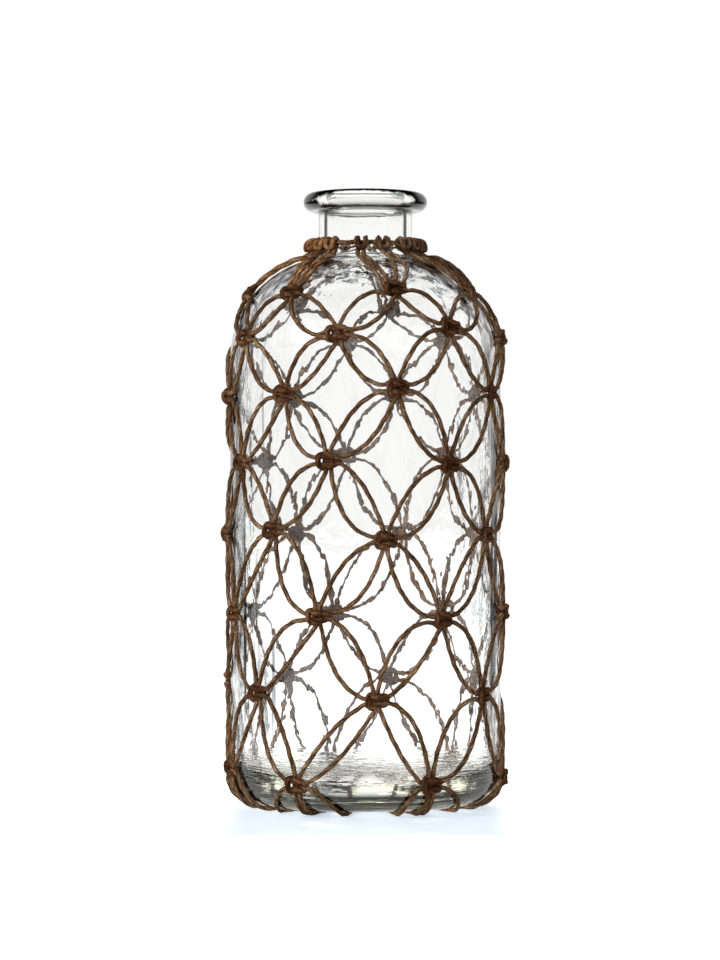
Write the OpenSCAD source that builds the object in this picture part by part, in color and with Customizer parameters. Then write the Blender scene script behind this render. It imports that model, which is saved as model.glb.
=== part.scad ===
// Clear glass bottle in a knotted net of jute cord.
// Millimetres, +Z up, front towards -Y. The origin is on the axis, on the surface the bottle stands on.
// Glass heights are measured from the glass foot. The foot stands on the cords that run under it.

/* [Bottle] */
// Height of the glass from its foot to the top of the lip
glass_h = 249.4; // [234:0.2:280]
// Outer diameter of the body
body_d = 111; // [104:1:116]
// Outer radius of the domed shoulder
shoulder_r = 42; // [38:1:44]
// Outer radius between the body and the foot
heel_r = 11; // [9:0.5:14]
// Thickness of the glass in the body, the shoulder and the neck
wall = 3; // [2:0.25:4]
// Thickness of the glass above the foot
base_t = 7; // [5:0.5:10]
// Inner radius between the wall and the floor
floor_r = 12; // [8:0.5:16]
// Rise of the inner floor from its edge to its middle
floor_rise = 4; // [2:0.5:5]
// Width of the flat ring that the glass stands on
foot_w = 6.5; // [4:0.5:9]
// Depth of the hollow under the base
punt_h = 5; // [4:0.25:6]

/* [Neck and lip] */
// Outer diameter of the neck
neck_d = 38.4; // [36:0.2:42]
// Height from the root of the neck to the top of the lip
neck_h = 23.4; // [19:0.2:30]
// Radius of the hollow curve where the neck meets the shoulder
root_r = 4; // [3.5:0.25:5]
// Outer diameter of the rolled lip
lip_d = 50.8; // [48:0.2:56]
// Height of the rolled lip
lip_h = 7.6; // [6:0.2:10]
// Rounding of the mouth's inner edge
rim_r = 3; // [1:0.25:3.5]

/* [Cord] */
// Diameter of the jute cord
cord_d = 2; // [1.8:0.1:2.2]
// Room between the cord and the glass, which straight steps of the cord need
cord_room = 0.3; // [0.15:0.05:0.4]

/* [Knots] */
// Half the width of a knot, where its working cords come in
knot_half_w = 3.6; // [3.2:0.1:4.2]
// Half the distance between the upper and lower turn of a knot
knot_half_h = 1.8; // [1.4:0.1:2.2]
// Distance between the three layers of cord in a knot
knot_layer = 1.1; // [1.05:0.05:1.4]
// Share of its thickness that a cord keeps where a knot squeezes it
knot_squeeze = 0.5; // [0.4:0.05:0.5]
// How far most outer cords of the last row swing out on their way to the foot, in degrees
foot_swing = 16; // [14:1:18]

/* [Base] */
// Radius of the tied bundle in the hollow under the base
bundle_r = 12; // [11:0.5:15]
// Height of that bundle
bundle_h = 5; // [3:0.25:5.5]

/* [Hidden] */
CORDS = 14;
function two_digits(n) = n < 10 ? str("0", n) : str(n);
function cord_name(n) = str("net_cord_", two_digits(n));

GLASS = [0.80, 0.90, 0.88, 0.35];
JUTE = [0.46, 0.32, 0.19];
$fn = 96;

// The knots, a row per line from the neck down. Each is its turn round the bottle in degrees, from
// the front to the right, and its distance down the wall from the neck, on a wall where the lowest
// knots sit just above the heel.
KNOTS = [
    [[-86, 35], [-37, 36.5], [14, 35.5], [62, 35.5], [113, 36], [167, 37], [220, 36]],
    [[-58.5, 55], [-11.3, 54.5], [37.2, 51.8], [84, 54], [142, 52.5], [188, 53], [244, 54]],
    [[-78, 78], [-34.5, 78], [12.7, 75.8], [63, 77], [122, 77], [166, 76], [215, 77]],
    [[-61, 105], [-15, 104.5], [36, 106], [87, 105], [140.5, 101], [188, 101.5], [230.5, 104]],
    [[-88, 134], [-40, 132], [8, 136], [58.3, 134.2], [123, 134], [163, 134], [212, 134]],
    [[-69, 166], [-19.3, 166], [32.3, 167.4], [85, 166], [142, 167], [193.5, 169], [242, 167]],
    [[-98, 195], [-49, 197], [4.3, 199], [56, 198.5], [122, 195], [169, 196], [217.5, 196]],
    [[-73, 229], [-28.4, 232.7], [27.2, 232.7], [80, 233], [138, 233], [197, 233], [241, 232.5]]
];
COLUMNS = len(KNOTS[0]);
LAST_ROW = len(KNOTS) - 1;
drawn_len = max([for (k = KNOTS[LAST_ROW]) k[1]]);
// Turn of the hitch by which each doubled cord hangs on the neck cord, and how much further round
// its strands lean as they leave
HITCHES = [-82, -67, -52, -37, -4, 17.5, 42, 56.5, 72, 87, 150, 172, 206, 228];
LEANS = [0, 0, -3, 4, -1, 5, 8, 7, 7, 4, 0, 0, 0, 0];
// How far the outer strands of each last knot swing, left and right, in shares of the common swing
FOOT_SWINGS = [[1, 1], [1.1, 1.2], [0.72, 1.42], [1, 1], [1, 1], [1, 1], [1, 1]];

// A strand bows on its way from one knot to the next, and hardly on its way from the neck. These
// strands have a bow of their own: the row that they leave, with -1 at the neck, their cord, and the
// bow of its left and of its right strand.
BOWS = [
    [-1, 2, -0.25, -0.2], [-1, 3, 0, 0.1], [-1, 4, 0.1, 0], [-1, 5, 0.3, 0.9], [-1, 6, -0.3, -0.3],
    [-1, 7, -0.3, -0.3],
    [0, 2, 1.2, 0.55], [0, 3, 1.8, 0.6], [0, 4, 1.35, 1], [0, 5, 0.6, 1.6], [0, 6, 1, 2],
    [0, 7, 0.5, 1.8],
    [1, 2, 1.1, 0.65], [1, 3, 1.15, 0.45], [1, 4, 1.1, 1], [1, 5, 1.05, 1], [1, 6, 0.7, 1],
    [2, 2, 1.1, 0.35], [2, 3, 1.25, 0.75], [2, 4, 0.85, 0.9], [2, 5, 0.8, 1.1], [2, 6, 1, 0.9],
    [3, 2, 1.5, 0.55], [3, 3, 1, 0.8], [3, 4, 1.2, 0.6], [3, 5, 0.85, 1], [3, 6, 0.75, 1.1],
    [3, 7, 0.7, 1.4],
    [4, 2, 0.6, 0.1], [4, 3, 1.1, 0.7], [4, 4, 0.75, 1.1], [4, 5, 1.1, 0.5], [4, 6, 0.45, 0.9],
    [5, 2, 1, 0.8], [5, 3, 1.2, 0.2], [5, 4, 0.9, 0.8], [5, 5, 1.4, 0.35], [5, 6, 0.85, 1.05],
    [5, 7, 1, 1.2],
    [6, 2, 1.2, 0.15], [6, 3, 0.9, 0.35], [6, 4, 0.4, 0.45], [6, 5, 0.3, 1], [6, 6, 1.4, 0.9],
    [6, 7, 0.9, 1]
];
common_bow = 0.9;
neck_bow = 0.15;
// The bow of a filler and of a working strand on their way to the foot
FOOT_BOWS = [0.1, 0.9];

body_r = body_d / 2;
neck_r = neck_d / 2;
bore_r = neck_r - wall;
lip_r = lip_d / 2;
rounding = min(rim_r, 0.9 * (lip_r - lip_h / 2 - bore_r));
flat_share = 0.9;
foot_z = flat_share * cord_d;
foot_r = body_r - heel_r;

// Centres of the round stretches of the outline, and the turn of the shoulder up to the neck
root_c = [neck_r + root_r, glass_h - neck_h];
shoulder_x = body_r - shoulder_r;
shoulder_z = root_c[1] - sqrt(pow(shoulder_r + root_r, 2) - pow(root_c[0] - shoulder_x, 2));
shoulder_c = [shoulder_x, shoulder_z];
shoulder_turn = atan2(root_c[1] - shoulder_z, root_c[0] - shoulder_x);
heel_c = [foot_r, heel_r];

// Lengths down the outside of the wall from the root of the neck
root_end = root_r * radians(shoulder_turn);
shoulder_end = root_end + shoulder_r * radians(shoulder_turn);
body_end = shoulder_end + shoulder_z - heel_r;
foot_end = body_end + heel_r * radians(90);
stretch = body_end / drawn_len;

// Section of the cord: half its width, and its centre's distance to the flat and to the ridge
half_w = 0.525 * cord_d;
flat_side = 0.45 * cord_d;
ridge_side = 0.5 * cord_d;
lift = flat_side + cord_room;
back_lift = flat_side * knot_squeeze + cord_room;
filler_gap = half_w;

// Where a strand comes into a knot, as shares of the knot's half width and half height: a working
// strand, one that comes down from the neck, and a filler's height. Then the share of the half
// width where a working strand turns back inside the knot.
GATE = [1.28, 0.55];
TOP_GATE = [0.8, 1.3];
filler_gate = 1.8;
turn_back = 0.92;

// The way a bowed strand turns off the straight line, at its working end and at its filler end, and
// how far each bend reaches, as a share of the line
work_turn = 42;
work_reach = 0.33;
filler_turn = 22;
filler_reach = 0.4;

// Where a strand is placed on its way, in shares of the way: below the neck, between rows that are
// close and far, and down to the foot
NECK_SHARES = [0, 0.22, 0.46, 0.74];
CLOSE_SHARES = [0.33, 0.67];
FAR_SHARES = [0.25, 0.5, 0.75];
FOOT_SHARES = [0.32, 0.58, 0.82];
close_rows = 2;

// Width of a strand that is flat under the base, the radius from which the strands lie apart, and
// how deep the bundle sits on them
flat_w = flat_share * cord_d;
star_r = (filler_gap + flat_w + cord_room) / sin(foot_swing * min([for (s = FOOT_SWINGS) min(s)]));
bundle_sink = 0.15 * cord_d;

// The neck cord, its steps in degrees, and the turns of a hitch round its section
neck_cord_r = neck_r + 1.65 * cord_d;
neck_cord_z = root_c[1] + 0.75 * cord_d;
hitch_r = 1.15 * cord_d;
HITCH_TURNS = [215, 155, 95, 40, -15];
HITCH_ASIDE = [0.55, 0.6, 0.75, 0.9, 0.9];
hitch_foot = 4 * cord_d;
neck_step = 12;

// The tie of the neck cord. Where the cord starts and ends on the shoulder, as turns from the tie
// and cord diameters down the wall, and where it bends at the tie, as turns from it and cord
// diameters outwards and upwards
tie_turn = 189;
tie_room = 6;
TIE_START = [[-10, 7.5], [-7, 4.25]];
TIE_END = [[7, 4.25], [11, 7]];
BEND_START = [[-4, 0.35, -0.7], [0, 0.55, 0.1]];
BEND_END = [[0, -0.5, 0], [4, 0.1, -0.75]];

function radians(a) = a * PI / 180;
function degrees(a) = a * 180 / PI;
function unit(v) = v / norm(v);
function reverse(list) = [for (i = [len(list) - 1:-1:0]) list[i]];

// Points on an arc about c, from angle a0 to a1 in n steps
function arc(c, r, a0, a1, n, first = 0) =
    [for (i = [first:n]) let (a = a0 + (a1 - a0) * i / n) c + r * [cos(a), sin(a)]];

// Arc from the axis at height rise down to radius r at height 0, as a flat dome
function dome(r, rise, n) =
    let (ball = (r * r + rise * rise) / (2 * rise), half = asin(r / ball))
    arc([0, rise - ball], ball, 90, 90 - half, n);

function bottle_outline() = concat(
    dome(foot_r - foot_w, punt_h, 8),
    arc(heel_c, heel_r, -90, 0, 10),
    arc(shoulder_c, shoulder_r, 0, shoulder_turn, 24),
    arc(root_c, root_r, 180 + shoulder_turn, 180, 8, 1),
    [[neck_r, glass_h - lip_h]],
    arc([lip_r - lip_h / 2, glass_h - lip_h / 2], lip_h / 2, -90, 90, 16),
    arc([bore_r + rounding, glass_h - rounding], rounding, 90, 180, 6),
    arc(root_c, root_r + wall, 180, 180 + shoulder_turn, 8),
    arc(shoulder_c, shoulder_r - wall, shoulder_turn, 0, 24, 1),
    arc([body_r - wall - floor_r, base_t + floor_r], floor_r, 0, -90, 10),
    reverse([for (p = dome(body_r - wall - floor_r, floor_rise, 8)) if (p[1] > 0.001) p + [0, base_t]])
);

// Radius and height on the outside of the wall, and its outward normal, at a distance down it
function wall_at(down) =
    down < root_end
        ? let (a = 180 + degrees(down / root_r), n = -[cos(a), sin(a)])
          concat(root_c - root_r * n, n)
    : down < shoulder_end
        ? let (a = shoulder_turn - degrees((down - root_end) / shoulder_r), n = [cos(a), sin(a)])
          concat(shoulder_c + shoulder_r * n, n)
    : down < body_end
        ? [body_r, shoulder_z - (down - shoulder_end), 1, 0]
    : let (a = -degrees((down - body_end) / heel_r), n = [cos(a), sin(a)])
      concat(heel_c + heel_r * n, n);

function around(turn, r, z) = [r * sin(turn), -r * cos(turn), z];

// A spot is a turn and a distance down the wall. This moves one along the wall by real lengths.
function moved(spot, across, along) =
    [spot[0] + degrees(across / wall_at(spot[1])[0]), spot[1] + along];

// A station of a cord: its centre, the way its flat side faces, and the share of thickness it keeps
function station(spot, height, keep = 1) =
    let (w = wall_at(spot[1]))
    [around(spot[0], w[0] + height * w[2], w[1] + height * w[3] + foot_z),
     -around(spot[0], w[2], w[3]), keep];

// Where knot i of a row lies. Rows count from 0, and knots go round past either end of the row.
function knot(row, i) =
    let (laps = floor(i / COLUMNS), k = KNOTS[row][i - laps * COLUMNS])
    [k[0] + 360 * laps, k[1] * stretch];

// A doubled cord swings between two columns of knots. In the rows with an even index, cords 2i and
// 2i + 1 meet in knot i, and in the others cords 2i + 1 and 2i + 2 do.
function cord_side(cord, row) = (cord + row) % 2 == 0 ? -1 : 1;
function cord_knot(cord, row) = knot(row, floor((cord - row % 2) / 2));

// The outer strand of a cord works round the knot, and the inner one is a filler in its middle
function works(cord, row, strand) = cord_side(cord, row) == strand;

// Where a strand comes into a knot (way -1) or leaves it (way 1)
function gate(cord, row, strand, way) =
    let (side = cord_side(cord, row), k = cord_knot(cord, row),
         share = row == 0 && way < 0 ? TOP_GATE : GATE)
    works(cord, row, strand)
        ? moved(k, side * share[0] * knot_half_w, way * share[1] * knot_half_h)
        : moved(k, side * filler_gap, way * filler_gate * knot_half_h);

// Stations of a strand through a knot, from the top down
function knot_stations(cord, row, strand) =
    let (side = cord_side(cord, row), k = cord_knot(cord, row), front = side < 0)
    works(cord, row, strand)
        ? [for (c = [[1, -1], [-turn_back, -1], [-turn_back, 1], [1, 1]])
            station(moved(k, c[0] * side * knot_half_w, c[1] * knot_half_h),
                back_lift + (front ? 2 : 0) * knot_layer, knot_squeeze)]
        : [station(moved(k, side * filler_gap, 0), back_lift + knot_layer, knot_squeeze)];

// How far a strand bows below a row
function bow(cord, row, strand) =
    let (own = [for (b = BOWS) if (b[0] == row && b[1] == cord) b])
    len(own) > 0 ? own[0][strand < 0 ? 2 : 3] : row < 0 ? neck_bow : common_bow;

// Point at share t of the bowed curve between two spots. Its working end turns to the horizontal.
function swing(start, end, works_first, bow, t) =
    let (across = radians(end[0] - start[0]) * (wall_at(start[1])[0] + wall_at(end[1])[0]) / 2,
         along = end[1] - start[1],
         chord = norm([across, along]),
         slant = atan2(abs(across), along),
         side = across < 0 ? -1 : 1,
         work = [slant + work_turn * bow, work_reach * chord],
         fill = [slant - filler_turn * bow, filler_reach * chord],
         first = works_first ? work : fill,
         last = works_first ? fill : work,
         p1 = moved(start, side * first[1] * sin(first[0]), first[1] * cos(first[0])),
         p2 = moved(end, -side * last[1] * sin(last[0]), -last[1] * cos(last[0])),
         u = 1 - t)
    u * u * u * start + 3 * u * u * t * p1 + 3 * u * t * t * p2 + t * t * t * end;

function between(start, end, works_first, bow, shares) =
    [for (t = shares) station(swing(start, end, works_first, bow, t), lift)];

// Start of a strand below its hitch, and its end on the edge of the foot
function hitch_gate(cord, strand) =
    moved([HITCHES[cord] + LEANS[cord], hitch_foot], strand * HITCH_ASIDE[0] * cord_d, 0);
function foot_gate(cord, strand) =
    let (side = cord_side(cord, LAST_ROW), i = floor((cord - LAST_ROW % 2) / 2),
         share = FOOT_SWINGS[i < 0 ? i + COLUMNS : i][side < 0 ? 0 : 1],
         turn = works(cord, LAST_ROW, strand) ? foot_swing * share : degrees(filler_gap / foot_r))
    [cord_knot(cord, LAST_ROW)[0] + side * turn, foot_end];

function strand_stations(cord, strand) = concat(
    between(hitch_gate(cord, strand), gate(cord, 0, strand, -1), false, bow(cord, -1, strand),
        NECK_SHARES),
    [for (row = [0:LAST_ROW])
        let (leaving = gate(cord, row, strand, 1), first = works(cord, row, strand))
        each concat(
            knot_stations(cord, row, strand),
            row == LAST_ROW
                ? between(leaving, foot_gate(cord, strand), true, FOOT_BOWS[first ? 1 : 0], FOOT_SHARES)
                : between(leaving, gate(cord, row + 1, strand, -1), first, bow(cord, row, strand),
                    row < close_rows ? CLOSE_SHARES : FAR_SHARES))],
    [station(foot_gate(cord, strand), flat_side, flat_share)]
);

// Half of a hitch, from behind the neck cord over its top to the bar in front
function hitch_stations(cord, strand) =
    [for (i = [0:len(HITCH_TURNS) - 1])
        let (a = HITCH_TURNS[i], n = [cos(a), sin(a)],
             turn = HITCHES[cord] + degrees(strand * HITCH_ASIDE[i] * cord_d / neck_cord_r))
        [around(turn, neck_cord_r + hitch_r * n[0], neck_cord_z + hitch_r * n[1] + foot_z),
         around(turn, n[0], n[1]), 1]];

// The whole doubled cord, from one end at the foot over the hitch to the other end
function cord_stations(cord) = concat(
    reverse(strand_stations(cord, -1)),
    hitch_stations(cord, -1),
    reverse(hitch_stations(cord, 1)),
    strand_stations(cord, 1)
);

// The neck cord runs round from its tie and back to it. Its ends cross there, one in front of the
// other, and hang down on the shoulder.
function on_neck(turn, out, up) =
    [around(turn, neck_cord_r + out * cord_d, neck_cord_z + up * cord_d + foot_z),
     -around(turn, 1, 0), 1];
function tie_ends(spots) = [for (s = spots) station([tie_turn + s[0], s[1] * cord_d], lift)];
function tie_bends(bends) = [for (b = bends) on_neck(tie_turn + b[0], b[1], b[2])];
function neck_cord_stations() = concat(
    tie_ends(TIE_START),
    tie_bends(BEND_START),
    [for (turn = [tie_room:neck_step:360 - tie_room]) on_neck(tie_turn + turn, 0, 0)],
    tie_bends(BEND_END),
    tie_ends(TIE_END)
);

// A run under the base as a stretch of the bundle's star outline, and the rounded knot on the star
function run_outline(turn, aside) =
    let (w = flat_w / 2)
    [for (p = [[aside - w, star_r], [aside - w, foot_r], [aside + w, foot_r], [aside + w, star_r]])
        [p[0] * cos(turn) + p[1] * sin(turn), p[0] * sin(turn) - p[1] * cos(turn)]];
function bundle_outline() =
    let (h = bundle_h - foot_z + bundle_sink)
    concat([[0, 0], [bundle_r, 0]], arc([bundle_r - h / 2, h / 2], h / 2, 0, 90, 8), [[0, h]]);

// The three corners of the cord at station i, mitred between the steps before and after it
function corners(path, i) =
    let (here = path[i][0],
         before = unit(here - path[max(i - 1, 0)][0] + (i == 0 ? path[1][0] - here : [0, 0, 0])),
         after = i == len(path) - 1 ? before : unit(path[i + 1][0] - here),
         along = unit(before + after),
         across = unit(cross(along, path[i][1])),
         flat = cross(across, along),
         bend = after - before,
         bend_way = norm(bend) < 0.001 ? [0, 0, 0] : unit(bend),
         mitre = 1 / max(before * along, 0.6) - 1,
         wide = half_w * (1 + mitre * abs(across * bend_way)),
         deep = path[i][2] * (1 + mitre * abs(flat * bend_way)))
    [here + across * wide + flat * flat_side * deep,
     here - across * wide + flat * flat_side * deep,
     here - flat * ridge_side * deep];

module swept_cord(path) {
    last = 3 * (len(path) - 1);
    points = [for (i = [0:len(path) - 1]) each corners(path, i)];
    sides = [for (i = [0:3:last - 3]) for (c = [0:2])
        let (a = i + c, b = i + (c + 1) % 3)
        each [[a, b, b + 3], [a, b + 3, a + 3]]];
    polyhedron(points, concat([[0, 2, 1]], sides, [[last, last + 1, last + 2]]), convexity = 10);
}

module glass_bottle() {
    color(GLASS)
        translate([0, 0, foot_z])
            rotate_extrude()
                polygon(bottle_outline());
}

module neck_cord() {
    color(JUTE)
        swept_cord(neck_cord_stations());
}

module net_cord(cord) {
    color(JUTE)
        swept_cord(cord_stations(cord));
}

module base_bundle() {
    color(JUTE) {
        linear_extrude(foot_z)
            polygon([for (i = [0:COLUMNS - 1])
                let (turn = knot(LAST_ROW, i)[0], swings = foot_swing * FOOT_SWINGS[i])
                each concat(
                    run_outline(turn - swings[0], 0),
                    run_outline(turn, -filler_gap),
                    run_outline(turn, filler_gap),
                    run_outline(turn + swings[1], 0))]);
        translate([0, 0, foot_z - bundle_sink])
            rotate_extrude()
                polygon(bundle_outline());
    }
}

glass_bottle();
neck_cord();
for (n = [1:CORDS])
    net_cord(n - 1);
base_bundle();
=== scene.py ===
"""A clear glass bottle that stands in a knotted net of jute cord.

Everything is worked out in millimetres and turned into metres where a mesh is made. The bottle's
axis is Z, its foot rests on the cords that run under it, and the front faces -Y.
"""

import math
import random

import bmesh
import bpy
import numpy as np
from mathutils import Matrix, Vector, noise


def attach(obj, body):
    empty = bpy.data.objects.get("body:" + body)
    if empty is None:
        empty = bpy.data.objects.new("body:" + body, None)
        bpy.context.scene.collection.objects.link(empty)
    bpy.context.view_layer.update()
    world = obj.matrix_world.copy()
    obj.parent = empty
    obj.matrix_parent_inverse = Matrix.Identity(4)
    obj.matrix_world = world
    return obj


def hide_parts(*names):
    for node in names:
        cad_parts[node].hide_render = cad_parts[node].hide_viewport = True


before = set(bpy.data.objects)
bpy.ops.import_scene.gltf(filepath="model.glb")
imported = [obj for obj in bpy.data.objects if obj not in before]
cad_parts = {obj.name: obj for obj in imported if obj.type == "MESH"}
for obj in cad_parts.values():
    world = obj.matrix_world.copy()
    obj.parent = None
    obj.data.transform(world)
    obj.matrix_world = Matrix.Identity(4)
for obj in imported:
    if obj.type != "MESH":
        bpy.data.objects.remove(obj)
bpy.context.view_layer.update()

MM = 0.001

# The glass
GLASS_H = 249.4
BODY_R = 55.5
SHOULDER_R = 42.0
HEEL_R = 11.0
WALL = 3.0
BASE_T = 7.0
FLOOR_R = 12.0
FLOOR_RISE = 4.0
FOOT_W = 6.5
PUNT_H = 5.0
NECK_R = 19.2
NECK_H = 23.4
ROOT_R = 4.0
LIP_R = 25.4
LIP_H = 7.6
RIM_R = 3.0
BORE_R = NECK_R - WALL
FOOT_R = BODY_R - HEEL_R
GLASS_STEP = 1.9
GLASS_TURNS = 176

# The cord and its knots
CORD_R = 1.0
FOOT_Z = 1.8
CORDS = 14
STEP = 0.45
SIDES = 12

# The knots, a row per line from the neck down. Each is its turn round the bottle in degrees, from
# the front to the right, and its distance down the wall from the neck.
KNOTS = [
    [(-86, 35), (-37, 36.5), (14, 35.5), (62, 35.5), (113, 36), (167, 37), (220, 36)],
    [(-58.5, 55), (-11.3, 54.5), (37.2, 51.8), (84, 54), (142, 52.5), (188, 53), (244, 54)],
    [(-78, 78), (-34.5, 78), (12.7, 75.8), (63, 77), (122, 77), (166, 76), (215, 77)],
    [(-61, 105), (-15, 104.5), (36, 106), (87, 105), (140.5, 101), (188, 101.5), (230.5, 104)],
    [(-88, 134), (-40, 132), (8, 136), (58.3, 134.2), (123, 134), (163, 134), (212, 134)],
    [(-69, 166), (-19.3, 166), (32.3, 167.4), (85, 166), (142, 167), (193.5, 169), (242, 167)],
    [(-98, 195), (-49, 197), (4.3, 199), (56, 198.5), (122, 195), (169, 196), (217.5, 196)],
    [(-73, 229), (-28.4, 232.7), (27.2, 232.7), (80, 233), (138, 233), (197, 233), (241, 232.5)],
]
COLUMNS = 7
LAST_ROW = len(KNOTS) - 1
LOWEST_KNOT = 233

# Turn of the hitch by which each doubled cord hangs, and of the neck cord's own knot
HITCHES = [-82, -67, -52, -37, -4, 17.5, 42, 56.5, 72, 87, 150, 172, 206, 228]
LEAN = {2: -3, 3: 4, 4: -1, 5: 5, 6: 8, 7: 7, 8: 7, 9: 4}
TIE_TURN = 189

# Heights on the outside of the glass, and lengths down it from the root of the neck
ROOT_X = NECK_R + ROOT_R
ROOT_Z = GLASS_H - NECK_H
SHOULDER_X = BODY_R - SHOULDER_R
SHOULDER_Z = ROOT_Z - math.sqrt((SHOULDER_R + ROOT_R) ** 2 - (ROOT_X - SHOULDER_X) ** 2)
SHOULDER_TURN = math.atan2(ROOT_Z - SHOULDER_Z, ROOT_X - SHOULDER_X)
ROOT_END = ROOT_R * SHOULDER_TURN
SHOULDER_END = ROOT_END + SHOULDER_R * SHOULDER_TURN
BODY_END = SHOULDER_END + SHOULDER_Z - HEEL_R
FOOT_END = BODY_END + HEEL_R * math.pi / 2
STRETCH = BODY_END / LOWEST_KNOT

# How a strand lies: its height above the glass, where it meets a knot, and how far it turns off
# the straight way at its working end and at its filler end, with the reach of each bend
LIFT = 1.05
GATE = (4.6, 1.1)
TOP_GATE = (2.9, 2.6)
FILLER_GATE = (0.9, 3.6)
WORK_TURN = 42
FILLER_TURN = 22
WORK_REACH = 0.33
FILLER_REACH = 0.4
NECK_BOW = 0.15
STACK = {0: 0.7, 1: 0.4, 8: 1.5, 9: 1.1}
FOOT_SWING = 16.0
FOOT_SWINGS = {3: 1.1, 4: 1.2, 5: 0.72, 6: 1.42}

# How far a strand in view bows: its row above, its cord, and the bow of the left and right strand
BOWS = {
    (-1, 0): (0.3, 0.0), (-1, 1): (-0.4, -0.5),
    (-1, 2): (-0.25, -0.2), (-1, 3): (0.0, 0.1), (-1, 4): (0.1, 0.0), (-1, 5): (0.3, 0.9),
    (-1, 6): (-0.3, -0.3), (-1, 7): (-0.3, -0.3),
    (0, 2): (1.2, 0.55), (0, 3): (1.8, 0.6), (0, 4): (1.35, 1.0), (0, 5): (0.6, 1.6), (0, 6): (1.0, 2.0),
    (0, 7): (0.5, 1.8),
    (1, 2): (1.1, 0.65), (1, 3): (1.15, 0.45), (1, 4): (1.1, 1.0), (1, 5): (1.05, 1.0), (1, 6): (0.7, 1.0),
    (2, 2): (1.1, 0.35), (2, 3): (1.25, 0.75), (2, 4): (0.85, 0.9), (2, 5): (0.8, 1.1), (2, 6): (1.0, 0.9),
    (3, 2): (1.5, 0.55), (3, 3): (1.0, 0.8), (3, 4): (1.2, 0.6), (3, 5): (0.85, 1.0), (3, 6): (0.75, 1.1),
    (3, 7): (0.7, 1.4), (4, 2): (0.6, 0.1), (4, 3): (1.1, 0.7), (4, 4): (0.75, 1.1), (4, 5): (1.1, 0.5),
    (4, 6): (0.45, 0.9), (5, 2): (1.0, 0.8), (5, 3): (1.2, 0.2), (5, 4): (0.9, 0.8), (5, 5): (1.4, 0.35),
    (5, 6): (0.85, 1.05), (5, 7): (1.0, 1.2), (6, 2): (1.2, 0.15), (6, 3): (0.9, 0.35), (6, 4): (0.4, 0.45),
    (6, 5): (0.3, 1.0), (6, 6): (1.4, 0.9), (6, 7): (0.9, 1.0),
}

# The neck cord, and a hitch round its section: angle from outwards, distance, and aside
NECK_CORD_R = NECK_R + 3.3
NECK_CORD_Z = ROOT_Z + 1.6
HITCH_FOOT = 8.0
HITCH_BENDS = [(232, 2.1, 1.3), (190, 2.0, 1.45), (140, 1.95, 1.6), (95, 1.95, 1.65), (50, 2.05, 1.65)]
HITCH_BAR = [(8, 2.2, 1.7), (-30, 2.5, 1.7), (-52, 2.7, 1.0)]

# A square knot. The left cord works in front and the right one behind. Each place is across and
# down from the knot's middle, its height above the glass, and how thick the cord stays there.
FRONT_WORK = [
    (-3.2, -1.4, 1.1, 0.95), (-1.8, -1.7, 2.1, 0.85), (0.0, -1.6, 2.8, 0.8), (1.8, -1.6, 2.3, 0.8),
    (3.0, -1.4, 1.4, 0.9), (3.6, -0.6, 1.1, 0.95), (3.6, 0.5, 1.1, 0.95), (3.0, 1.4, 1.4, 0.9),
    (1.8, 1.6, 2.2, 0.8), (0.0, 1.6, 2.8, 0.8), (-1.8, 1.7, 2.1, 0.85), (-3.2, 1.4, 1.1, 0.95),
]
BACK_WORK = [
    (3.3, -1.3, 2.3, 0.9), (2.2, -1.0, 1.5, 0.7), (1.0, -0.9, 0.5, 0.45), (-1.0, -1.8, 0.5, 0.45),
    (-2.1, -2.4, 1.4, 0.7), (-3.0, -1.7, 2.5, 0.9), (-3.2, 0.0, 2.7, 0.95), (-3.0, 1.7, 2.5, 0.9),
    (-2.1, 2.4, 1.4, 0.7), (-1.0, 2.0, 0.5, 0.45), (1.0, 1.0, 0.5, 0.45), (2.2, 0.9, 1.4, 0.7),
    (3.3, 1.3, 2.3, 0.9),
]
FILLER = [(0.85, -2.2, 1.2, 0.75), (0.8, -0.6, 1.45, 0.6), (0.8, 0.8, 1.45, 0.6), (0.85, 2.2, 1.2, 0.75)]
KNOT_SLACK = 0.32
KNOT_WIDE = 1.08
KNOT_TALL = 1.1
KNOT_SWELL = 0.26
FAR_THIN = 0.14
# Painted shade in the hitches' colour. Painted light on the four left cords, at their hitches and, by the share below,
# down to their first knots, where the lamp falls.
HITCH_PAINTED_SHADE = 0.4
PAINTED_LIGHT_CORDS = {0: -0.5, 1: -0.55, 2: -0.6, 3: -0.5}
PAINTED_LIGHT_BELOW = 0.5


def unit(v):
    return v / np.linalg.norm(v)


# The glass


def arc(cx, cz, r, start, end, step=GLASS_STEP):
    """Points on an arc in the section plane, from one angle in degrees to another."""
    count = max(6, math.ceil(abs(math.radians(end - start)) * r / step))
    angles = [math.radians(start + (end - start) * i / count) for i in range(count + 1)]
    return [(cx + r * math.cos(a), cz + r * math.sin(a)) for a in angles]


def line(start, end, step=GLASS_STEP):
    """Points between two points of the section, without either."""
    count = max(1, math.ceil(math.dist(start, end) / step))
    return [tuple(s + (e - s) * i / count for s, e in zip(start, end)) for i in range(1, count)]


def dome(r, rise, base):
    """A flat dome's arc, from the axis out to radius r at the height of its base."""
    ball = (r * r + rise * rise) / (2 * rise)
    half = math.degrees(math.asin(r / ball))
    return arc(0, base + rise - ball, ball, 90, 90 - half)


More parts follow.
